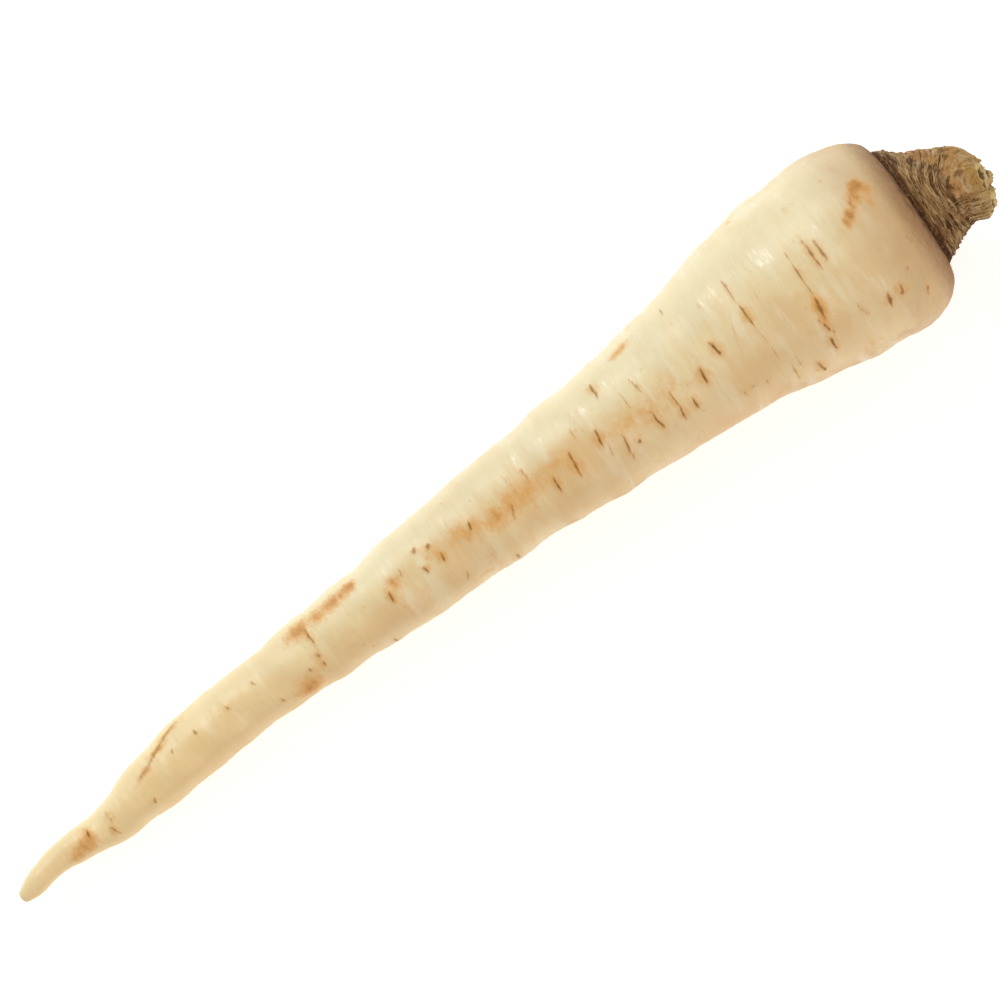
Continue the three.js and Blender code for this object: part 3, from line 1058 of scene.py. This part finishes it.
def joined(name, parts):
    """One object from several meshes, with their attributes."""
    objects = [bpy.data.objects.new("part", mesh) for mesh in parts]
    for part in objects:
        bpy.context.scene.collection.objects.link(part)
    with bpy.context.temp_override(active_object=objects[0], selected_editable_objects=objects):
        bpy.ops.object.join()
    objects[0].name = objects[0].data.name = name
    bpy.context.scene.collection.objects.unlink(objects[0])
    return objects[0]


stalks_smooth = joined("leaf_stalks_smooth", [stalk_mesh(spec) for spec in STALKS])
print("stalk faces:", len(stalks_smooth.data.polygons))

# %% [markdown]
# ## The crown's finish
# Cork and dried stalk are dull and brown. Strands of dark brown and tan follow the fibres,
# with warm patches between them, and the gap at the neck is painted nearly black as shade.
# Near the cut the stalks are still yellow-green, with a pale rim and a dark, sunken inside
# whose darkness is partly its own brown and partly painted shade.

# %% Crown materials
CORK_DARK = srgb(80, 48, 20)
CORK_BROWN = srgb(144, 104, 60)
CORK_TAN = srgb(194, 162, 114)
CORK_PALE = srgb(222, 200, 160)
WARM_TAN = srgb(186, 134, 74)
OLIVE = srgb(168, 142, 70)
CUT_RIM = srgb(228, 202, 146)
CUT_INSIDE_AND_SHADE = srgb(92, 64, 28)
DULL = {"Specular IOR Level": 0.25, "Subsurface Weight": 0.03, "Subsurface Scale": 0.001}


CORK_BUMP = 0.6 * MM


def core_material():
    material, tree, shader = new_material("crown_cork_ringed", DULL)
    place = tree.node("ShaderNodeTexCoord").named["Object"]
    flow = attribute(tree, "flow", "Vector")
    coarse = strands(tree, flow, 1.5, 2.6, detail=4.0)
    fine = strands(tree, flow, 4.0, 6.0)
    patch = tree.noise(place, (0.30, 0.26, 0.26), detail=3.0)
    colour = tree.mix(coarse.between(0.35, 0.62), CORK_DARK, CORK_TAN)
    colour = tree.mix(fine.between(0.45, 0.66) * 0.6, colour, CORK_BROWN)
    colour = tree.mix(patch.between(0.50, 0.66) * 0.5, colour, CORK_BROWN)
    level, _, side = tree.node("ShaderNodeSeparateXYZ", None, {0: flow})
    level = level + side.between(0.25, 0.90) * 0.8 + (coarse - 0.5) * 1.8
    # Painted shade: the gap at the neck is darkened to nearly black
    colour = tree.mix(level.between(1.9, 0.5) * 0.90, colour, CORK_DARK)
    connect(tree, shader, colour, 0.72 + fine * 0.2, coarse * 0.6 + fine * 0.4, CORK_BUMP)
    return material


def stalk_material():
    material, tree, shader = new_material("leaf_stalk_dry", DULL)
    place = tree.node("ShaderNodeTexCoord").named["Object"]
    length, across, which = (attribute(tree, n) for n in ("length", "across", "which"))
    spot = {"X": across * 26.0, "Y": length * 2.2, "Z": which}
    down_stalk = tree.node("ShaderNodeCombineXYZ", None, spot)[0]
    sockets = {"Vector": down_stalk, "Scale": 1.0, "Detail": 4.0, "Roughness": 0.6}
    down_streak = tree.node("ShaderNodeTexNoise", None, sockets)[0]
    round_streak = strands(tree, attribute(tree, "flow", "Vector"), 1.3, 3.0, detail=4.0)
    patch = tree.noise(place, (0.34, 0.34, 0.34), detail=3.0)
    speckle = tree.noise(place, (0.75, 0.75, 0.75), detail=5.0, roughness=0.7)
    turned = (attribute(tree, "lengthwise") + (patch - 0.5) * 0.8).between(0.35, 0.65)
    streak = round_streak * (1 - turned) + down_streak * turned
    colour = tree.mix(streak.between(0.38, 0.60), CORK_BROWN, CORK_TAN)
    colour = tree.mix(patch.between(0.38, 0.54) * 0.80, colour, WARM_TAN)
    colour = tree.mix(streak.between(0.43, 0.31) * 0.75, colour, CORK_DARK)
    colour = tree.mix(speckle.between(0.47, 0.34) * 0.80, colour, CORK_DARK)
    colour = tree.mix(speckle.between(0.57, 0.68) * 0.60, colour, CORK_PALE)
    colour = tree.mix(turned * 0.30, colour, CORK_PALE)
    fresh = (length + (patch - 0.5) * 1.2).between(0.62, 1.0)
    colour = tree.mix(fresh * 0.40, colour, OLIVE)
    inside = attribute(tree, "inside")
    rim = inside + (speckle - 0.5) * 0.6
    colour = tree.mix(rim.between(0.05, 0.32) * 0.72, colour, CUT_RIM)
    # Partly its own brown and partly painted shade: the sunken inside of the cut is darkened
    colour = tree.mix(inside.between(0.42, 0.80) * 0.88, colour, CUT_INSIDE_AND_SHADE)
    connect(tree, shader, colour, 0.62 + streak * 0.25, streak * 0.6 + speckle * 0.4, CORK_BUMP)
    return material


def roughened(source, material, layers, strand_height, name):
    """Source with uneven noise over it and strands along the fibres, both in mm."""
    numbers = [("Strength", "NodeSocketFloat"), ("Strand Height", "NodeSocketFloat")]
    tree, given = geometry_tree("roughen_" + name, numbers)
    place = tree.node("GeometryNodeInputPosition")[0]
    normal = tree.node("GeometryNodeInputNormal")[0]
    strand = strands(tree, named_value(tree, "flow", "FLOAT_VECTOR"), 1.3, 3.0) - 0.5
    height = wrinkles(tree, place, layers) * given["Strength"] + strand * given["Strand Height"]
    inside, length = named_value(tree, "inside"), named_value(tree, "length")
    height = height * (1 - inside.between(0.0, 0.3) * 0.8) * (1 - length.between(0.90, 1.0) * 0.5)
    moved = moved_out(tree, given["Geometry"], normal, height)
    values = {"Strength": 1.0, "Strand Height": strand_height * MM}
    return grown(source, finish_tree(tree, moved, material), values, name)


# Layers of noise: cells per mm along and round the root, and height in mm
CORE_LAYERS = ((0.35, 0.30, 0.35),)
STALK_LAYERS = ((0.30, 0.45, 0.35), (0.8, 0.9, 0.16))
CORE_STRANDS, STALK_STRANDS = 0.72, 0.90
core_smooth = bpy.data.objects.new("crown_core_smooth", core_mesh)
crown_core = roughened(core_smooth, core_material(), CORE_LAYERS, CORE_STRANDS, "crown_core")
leaf_stalks = roughened(stalks_smooth, stalk_material(), STALK_LAYERS, STALK_STRANDS, "leaf_stalks")

# %% [markdown]
# ## Fibres on the crown
# Dried leaf bases fray into strands. Most follow the flow round the neck. On the stalk that
# ends in the lip, and near the cut, thin ones run lengthwise. Each strand's line is found by
# looking from outside towards the crown's middle, and one tree makes all of them solid.

# %% Fibre lines
crown_points, crown_faces = [], []
for piece in (crown_core, leaf_stalks):
    first = len(crown_points)
    crown_points += [tuple(v.co) for v in piece.data.vertices]
    crown_faces += [tuple(first + v for v in p.vertices) for p in piece.data.polygons]
crown_tree = BVHTree.FromPolygons(crown_points, crown_faces)
LOOK_FROM = 22 * MM


def on_crown(past, turn, lift):
    """The crown's outside at past and turn, lifted off it by lift in mm, or None."""
    aside, up = crown_middle(past)
    middle = neck_middle + Vector((past, aside, up)) * MM
    side = math.radians(turn)
    out = Vector((0, math.sin(side), math.cos(side)))
    hit, normal, _, _ = crown_tree.ray_cast(middle + out * LOOK_FROM, -out)
    return None if hit is None else hit + normal * (lift * MM)


FIBRE_POINTS = 9
FIBRE_TAPER = 0.12


def fibre(level_from, level_to, turn_from, turn_to, thick, shade):
    """One fibre as a line of (point, radius in m, shade), thinner at both ends."""
    wander, lift = rng.normal(0, 0.10), rng.uniform(-0.03, 0.09)
    line = []
    for i in range(FIBRE_POINTS):
        share = i / (FIBRE_POINTS - 1)
        turn = turn_from + (turn_to - turn_from) * share
        level = level_from + (level_to - level_from) * share + wander * math.sin(4 * share)
        point = on_crown(level * float(fan(turn)), turn, lift)
        if point is None:
            return None
        line.append((point, thick * MM * fullness(share, FIBRE_TAPER), shade))
    return line


RING_FIBRES, LENGTH_FIBRES = 760, 170
MOST_STEP = 1.4 * MM  # a longer step between a fibre's points means that it crosses a gap
WIDE_FAN = 1.5
FAN_GAIN = 0.6  # how much sooner fibres turn pale where the fan is wide


def ring_fibres(count):
    """Fibres that follow the flow, with painted shade that darkens them in the gap at the neck."""
    for _ in range(count):
        level, turn = rng.uniform(0.35, 6.6), rng.uniform(-178, 178)
        reach = rng.uniform(8, 30)
        slip = rng.normal(0, 0.12)
        thick, shade = rng.uniform(0.06, 0.17), rng.random()
        # Painted shade: fibres are darker in the gap at the neck, and turn pale sooner where the fan is
        # wide
        clear_of_gap = level * (1 + FAN_GAIN * float(fan(turn) > WIDE_FAN))
        shade *= 0.30 + 0.70 * float(smoothstep(clear_of_gap, 0.7, 2.3))
        yield fibre(level, level + slip, turn - reach / 2, turn + reach / 2, thick, shade)


def length_fibres(count):
    """Thin fibres that run lengthwise near the cut, on the -Y side."""
    for _ in range(count):
        level, turn = rng.uniform(5.0, 10.0), rng.uniform(-150, -15)
        reach = rng.uniform(2.0, 5.0)
        swing = rng.normal(0, 5)
        thick, shade = rng.uniform(0.04, 0.10), rng.uniform(0.1, 0.9)
        yield fibre(level, min(level + reach, 13.5), turn, turn + swing, thick, shade)


def whole_lines(lines):
    """The lines that keep to one surface: none missing, and no step across a gap."""
    kept = []
    for line in lines:
        if line and all((b[0] - a[0]).length < MOST_STEP for a, b in zip(line, line[1:])):
            kept.append(line)
    return kept


fibre_lines = whole_lines([*ring_fibres(RING_FIBRES), *length_fibres(LENGTH_FIBRES)])
fibre_guides = edge_object("crown_fibre_lines", fibre_lines)
print("fibres:", len(fibre_lines))


# %% Fibre tree
def fibre_tree(material):
    """Makes every line a solid strand, as thick as the line's own width says."""
    tree, given = geometry_tree("fray_into_fibres", [("Sides", "NodeSocketInt")])
    width = named_value(tree, "width")
    curves = tree.node("GeometryNodeMeshToCurve", None, {"Mesh": given["Geometry"]})[0]
    curves = tree.node("GeometryNodeSetCurveRadius", None, {"Curve": curves, "Radius": width})[0]
    section_sockets = {"Resolution": given["Sides"], "Radius": 1.0}
    section = tree.node("GeometryNodeCurvePrimitiveCircle", None, section_sockets)[0]
    sockets = {"Curve": curves, "Profile Curve": section, "Fill Caps": True}
    strands_made = tree.node("GeometryNodeCurveToMesh", None, sockets)
    if "Scale" in strands_made.node.inputs:
        tree.tree.links.new(width.socket, strands_made.node.inputs["Scale"])
    return finish_tree(tree, strands_made[0], material)


FIBRE_BUMP = 0.2 * MM


def fibre_material(name):
    """Dry fibre whose colour goes from dark to pale with its shade."""
    material, tree, shader = new_material(name, DULL)
    place = tree.node("ShaderNodeTexCoord").named["Object"]
    grain = tree.noise(place, (1.0, 1.0, 1.0), detail=4.0, roughness=0.65)
    shade = attribute(tree, "darkness") + (grain - 0.5) * 0.7
    colour = tree.mix(shade.between(0.10, 0.50), CORK_DARK, CORK_BROWN)
    colour = tree.mix(shade.between(0.55, 0.95) * 0.85, colour, CORK_TAN)
    connect(tree, shader, colour, 0.7 + grain * 0.2, grain, FIBRE_BUMP)
    return material


FIBRE_SIDES = 5
strand_tree = fibre_tree(fibre_material("crown_fibre"))
crown_fibres = grown(fibre_guides, strand_tree, {"Sides": FIBRE_SIDES}, "crown_fibres")

# %% [markdown]
# ## Scales at the neck
# Where the skin ends, small scales of old leaf bases stand in a ragged ring. They are kept
# dark, partly their own brown and partly painted shade of the gap at the neck. Each is a
# pointed flake. One tree sets a flake at every point of the ring, turned the way that point
# says and as large as it says.

# %% Neck scales
SCALE_COUNT = 230
FLAKE_ROWS = ((0.0, 0.30), (0.35, 0.38), (0.7, 0.26), (1.0, 0.03))
FLAKE_THICK = 0.10


def flake_mesh():
    """A pointed flake 1 long, lying along +X, and curled a little."""
    points, faces = [], []
    for past, half in FLAKE_ROWS:
        curl = 0.15 * past * past
        points += [(past, -half, curl), (past, 0, curl + 0.10)]
        points += [(past, half, curl), (past, 0, curl - FLAKE_THICK)]
    for row in range(len(FLAKE_ROWS) - 1):
        low, high = row * 4, row * 4 + 4
        for side in range(4):
            after = (side + 1) % 4
            faces.append((low + side, high + side, high + after, low + after))
    last = 4 * (len(FLAKE_ROWS) - 1)
    faces += [(0, 1, 2, 3), (last + 3, last + 2, last + 1, last)]
    mesh = bpy.data.meshes.new("flake")
    mesh.from_pydata(points, [], faces)
    return mesh


def scale_points():
    """Points round the neck, each with the way its flake lies, how large it is and its shade."""
    points, ahead, sizes, shades = [], [], [], []
    for i in range(SCALE_COUNT):
        turn = -180 + 360 * (i + rng.uniform(-0.4, 0.4)) / SCALE_COUNT
        past = rng.uniform(-0.1, 0.5)
        here = on_crown(past, turn, -0.06)
        there = on_crown(past + 0.6, turn + rng.normal(0, 9), 0.02)
        if here is None or there is None:
            continue
        points.append(here)
        ahead.append((there - here).normalized())
        sizes.append(rng.uniform(0.5, 1.05) * MM)
        # Kept dark: partly the scales' own brown, partly painted shade of the gap at the neck
        shades.append(rng.uniform(0.0, 0.36))
    mesh = bpy.data.meshes.new("scale_points")
    mesh.from_pydata(points, [], [])
    facing = mesh.attributes.new("ahead", "FLOAT_VECTOR", "POINT")
    facing.data.foreach_set("vector", np.array(ahead).ravel())
    set_values(mesh, size=sizes, darkness=shades)
    return bpy.data.objects.new("scale_points", mesh)


def scale_tree(material):
    """Sets a flake at every point."""
    tree, given = geometry_tree("set_scales", [("Flake", "NodeSocketObject")])
    ahead, size = named_value(tree, "ahead", "FLOAT_VECTOR"), named_value(tree, "size")
    flake = tree.node("GeometryNodeObjectInfo", None, {"Object": given["Flake"]}).named["Geometry"]
    facing = tree.node("FunctionNodeAlignRotationToVector", {"axis": "X"}, {"Vector": ahead})[0]
    sockets = {"Points": given["Geometry"], "Instance": flake, "Rotation": facing, "Scale": size}
    placed = tree.node("GeometryNodeInstanceOnPoints", None, sockets)[0]
    return finish_tree(tree, placed, material)


flake = bpy.data.objects.new("flake", flake_mesh())
bpy.context.scene.collection.objects.link(flake)
flakes_tree = scale_tree(fibre_material("neck_scale"))
neck_scales = grown(scale_points(), flakes_tree, {"Flake": flake}, "neck_scales")
bpy.data.objects.remove(flake)

# %% [markdown]
# ## Fitting everything to the frame
# All pieces belong to the one body of the root. The skin stands for the CAD solid. Both are
# kept, and the skin's distance from the solid is measured.

# %% Fit and finish
pieces = {
    root_skin: "root_skin",
    crown_core: "crown_cork",
    leaf_stalks: "crown_cork",
    crown_fibres: "crown_cork",
    neck_scales: "crown_cork",
}
MEASURE_EVERY = 23  # the distance is measured at every 23rd point
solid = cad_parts["parsley_root"].data
solid_faces = [tuple(p.vertices) for p in solid.polygons]
solid_tree = BVHTree.FromPolygons([tuple(v.co) for v in solid.vertices], solid_faces)
for piece, slot in pieces.items():
    measured = list(piece.data.vertices)[::MEASURE_EVERY]
    gaps = [solid_tree.find_nearest(v.co)[3] / MM for v in measured]
    mean, most = round(sum(gaps) / len(gaps), 2), round(max(gaps), 2)
    print(piece.name, "from the solid, mm: mean", mean, "most", most)
    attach(piece, "root")
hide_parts("parsley_root")
